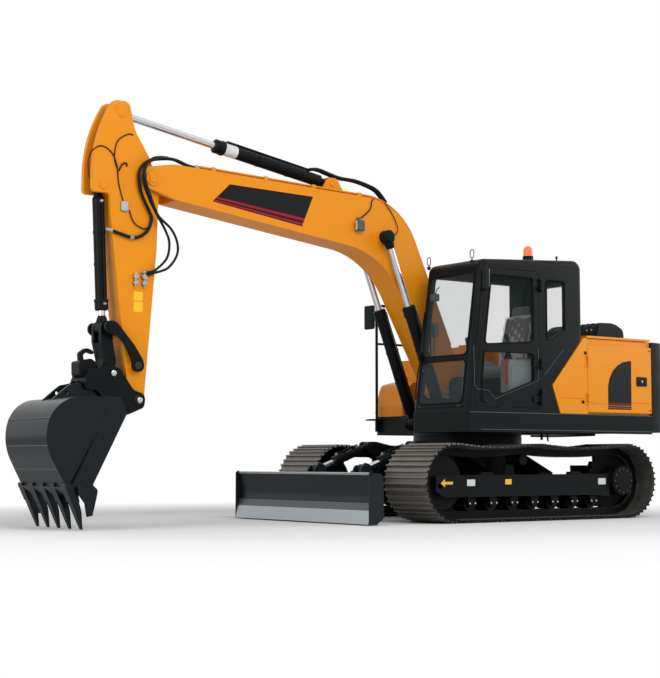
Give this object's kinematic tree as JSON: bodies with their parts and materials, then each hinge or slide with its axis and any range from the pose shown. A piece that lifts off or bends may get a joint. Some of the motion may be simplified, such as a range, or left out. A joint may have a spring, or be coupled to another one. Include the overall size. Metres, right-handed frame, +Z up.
{
  "type": "crawler excavator with dozer blade",
  "caption": "Tracked hydraulic excavator: slewing house with side cab, cranked boom, arm, bucket on a quick coupler, and a front dozer blade.",
  "frame": {"origin": "on the ground, under the middle of the whole machine's box at rest", "axes": "+X forward along the tracks towards the blade and bucket, +Y to the left, the cab side, +Z up"},
  "size_m": [7.7526, 2.69, 4.245],
  "materials": {
    "yellow_paint": "gloss machine enamel",
    "black_paint": "satin black enamel",
    "track_steel": "rolled and worn steel",
    "chrome_rod": "ground hard chrome",
    "cast_weight": "painted casting",
    "engine_iron": "painted casting",
    "seat_fabric": "woven fabric under a clear cover",
    "cab_plastic": "moulded grained plastic",
    "tinted_glass": "flat safety glass",
    "amber_lens": "moulded amber lens"
  },
  "bodies": {
    "undercarriage": {"centre_frame": "black_paint", "side_frames": "black_paint", "blade_mount": "black_paint", "swing_ring": "black_paint", "left_track": "track_steel", "right_track": "track_steel", "left_sprocket": "black_paint", "right_sprocket": "black_paint", "left_idler": "black_paint", "right_idler": "black_paint", "track_rollers": "black_paint", "carrier_rollers": "black_paint"},
    "blade": {"dozer_blade": "black_paint"},
    "blade_barrels": {"blade_cylinder_barrels": "black_paint"},
    "blade_rods": {"blade_cylinder_rods": "chrome_rod"},
    "house": {"house_frame": "black_paint", "boom_brackets": "black_paint", "handrail": "black_paint", "mirrors": "cab_plastic", "beacon": "amber_lens", "counterweight": "cast_weight", "engine_housing": "black_paint", "engine_block": "engine_iron", "left_quarter_panel": "yellow_paint", "fuel_tank": "yellow_paint", "oil_tank": "yellow_paint", "tool_box": "yellow_paint", "cab": "black_paint", "seat_base": "cab_plastic", "seat_cushion": "seat_fabric", "seat_backrest": "seat_fabric", "control_consoles": "cab_plastic", "cab_glass": "tinted_glass", "windscreen": "tinted_glass"},
    "cab_door": {"cab_door": "black_paint", "door_glass": "tinted_glass"},
    "left_side_door": {"left_side_door": "yellow_paint"},
    "right_side_door": {"right_side_door": "yellow_paint"},
    "engine_hood": {"engine_hood": "yellow_paint", "air_intake_cover": "black_paint"},
    "boom": {"boom": "yellow_paint", "boom_lines": "black_paint"},
    "boom_barrels": {"boom_cylinder_barrels": "black_paint"},
    "boom_rods": {"boom_cylinder_rods": "chrome_rod"},
    "arm": {"arm": "yellow_paint", "arm_pins": "track_steel"},
    "arm_barrel": {"arm_cylinder_barrel": "black_paint"},
    "arm_rod": {"arm_cylinder_rod": "chrome_rod"},
    "bucket_barrel": {"bucket_cylinder_barrel": "black_paint"},
    "bucket_rod": {"bucket_cylinder_rod": "chrome_rod"},
    "rocker": {"rocker_links": "black_paint"},
    "power_link": {"power_link": "black_paint"},
    "bucket": {"quick_coupler": "black_paint", "bucket": "black_paint"}
  },
  "joints": [
    {"name": "swing", "type": "hinge", "parent": "undercarriage", "child": "house", "pos_m": [-1.68631, 0, 0.92997], "axis": [0, 0, 1], "continuous": true},
    {"name": "boom", "type": "hinge", "parent": "house", "child": "boom", "pos_m": [-1.35631, -0.04, 1.49997], "axis": [0, -1, 0], "range_deg": [-64, 32]},
    {"name": "boom_cylinder_swing", "type": "hinge", "parent": "house", "child": "boom_barrels", "pos_m": [-1.12631, -0.04, 1.08997], "axis": [0, -1, 0], "range_deg": [-59.78, 30.14]},
    {"name": "boom_cylinder_stroke", "type": "slide", "parent": "boom_barrels", "child": "boom_rods", "axis": [0.3657, 0, 0.9307], "range_m": [-0.46999, 0.23599]},
    {"name": "arm", "type": "hinge", "parent": "boom", "child": "arm", "pos_m": [2.61869, -0.04, 3.48797], "axis": [0, -1, 0], "range_deg": [-18, 85]},
    {"name": "arm_cylinder_swing", "type": "hinge", "parent": "boom", "child": "arm_barrel", "pos_m": [0.29869, -0.04, 3.70497], "axis": [0, -1, 0], "range_deg": [-2.2, 0.86]},
    {"name": "arm_cylinder_stroke", "type": "slide", "parent": "arm_barrel", "child": "arm_rod", "axis": [0.9863, 0, 0.1647], "range_m": [-1.01487, 0.21649]},
    {"name": "bucket", "type": "hinge", "parent": "arm", "child": "bucket", "pos_m": [2.74969, -0.04, 1.24997], "axis": [0, 1, 0], "range_deg": [-4, 150]},
    {"name": "rocker_swing", "type": "hinge", "parent": "arm", "child": "rocker", "pos_m": [2.76769, -0.04, 1.59297], "axis": [0, 1, 0], "range_deg": [-3.5, 112.89]},
    {"name": "power_link_swing", "type": "hinge", "parent": "rocker", "child": "power_link", "pos_m": [3.07469, -0.04, 1.96197], "axis": [0, 1, 0], "range_deg": [-67.24, 2.28]},
    {"name": "bucket_cylinder_swing", "type": "hinge", "parent": "arm", "child": "bucket_barrel", "pos_m": [3.14269, -0.04, 3.37497], "axis": [0, 1, 0], "range_deg": [-0.53, 1.65]},
    {"name": "bucket_cylinder_stroke", "type": "slide", "parent": "bucket_barrel", "child": "bucket_rod", "axis": [-0.0481, 0, -0.9988], "range_m": [-0.02325, 0.79893]},
    {"name": "blade", "type": "hinge", "parent": "undercarriage", "child": "blade", "pos_m": [-0.67631, 0, 0.32997], "axis": [0, -1, 0], "range_deg": [-15, 16]},
    {"name": "blade_cylinder_swing", "type": "hinge", "parent": "undercarriage", "child": "blade_barrels", "pos_m": [-0.53631, 0, 0.81197], "axis": [0, -1, 0], "range_deg": [-15.21, 16.19]},
    {"name": "blade_cylinder_stroke", "type": "slide", "parent": "blade_barrels", "child": "blade_rods", "axis": [0.9432, 0, -0.3321], "range_m": [-0.14106, 0.13236]},
    {"name": "cab_door", "type": "hinge", "parent": "house", "child": "cab_door", "pos_m": [-1.66431, 1.269, 1.89997], "axis": [0, 0, -1], "range_deg": [-150, 0]},
    {"name": "left_side_door", "type": "hinge", "parent": "house", "child": "left_side_door", "pos_m": [-2.40931, 1.257, 1.59997], "axis": [0, 0, -1], "range_deg": [0, 95]},
    {"name": "right_side_door", "type": "hinge", "parent": "house", "child": "right_side_door", "pos_m": [-2.40931, -1.257, 1.59997], "axis": [0, 0, 1], "range_deg": [0, 95]},
    {"name": "engine_hood", "type": "hinge", "parent": "house", "child": "engine_hood", "pos_m": [-2.40931, 0, 2.08397], "axis": [0, 1, 0], "range_deg": [0, 62]}
  ],
  "couplings": [
    {"joint": "boom_cylinder_swing", "follows": "boom", "ratio": 0.92633},
    {"joint": "boom_cylinder_stroke", "follows": "boom", "m_per_rad": 0.41896},
    {"joint": "arm_cylinder_swing", "follows": "arm", "ratio": -0.02},
    {"joint": "arm_cylinder_stroke", "follows": "arm", "m_per_rad": -0.68274},
    {"joint": "rocker_swing", "follows": "bucket", "ratio": 0.74929},
    {"joint": "power_link_swing", "follows": "bucket", "ratio": -0.44491},
    {"joint": "bucket_cylinder_swing", "follows": "bucket", "ratio": 0.0076939},
    {"joint": "bucket_cylinder_stroke", "follows": "bucket", "m_per_rad": 0.30441},
    {"joint": "blade_cylinder_swing", "follows": "blade", "ratio": 0.98081},
    {"joint": "blade_cylinder_stroke", "follows": "blade", "m_per_rad": -0.49796}
  ]
}
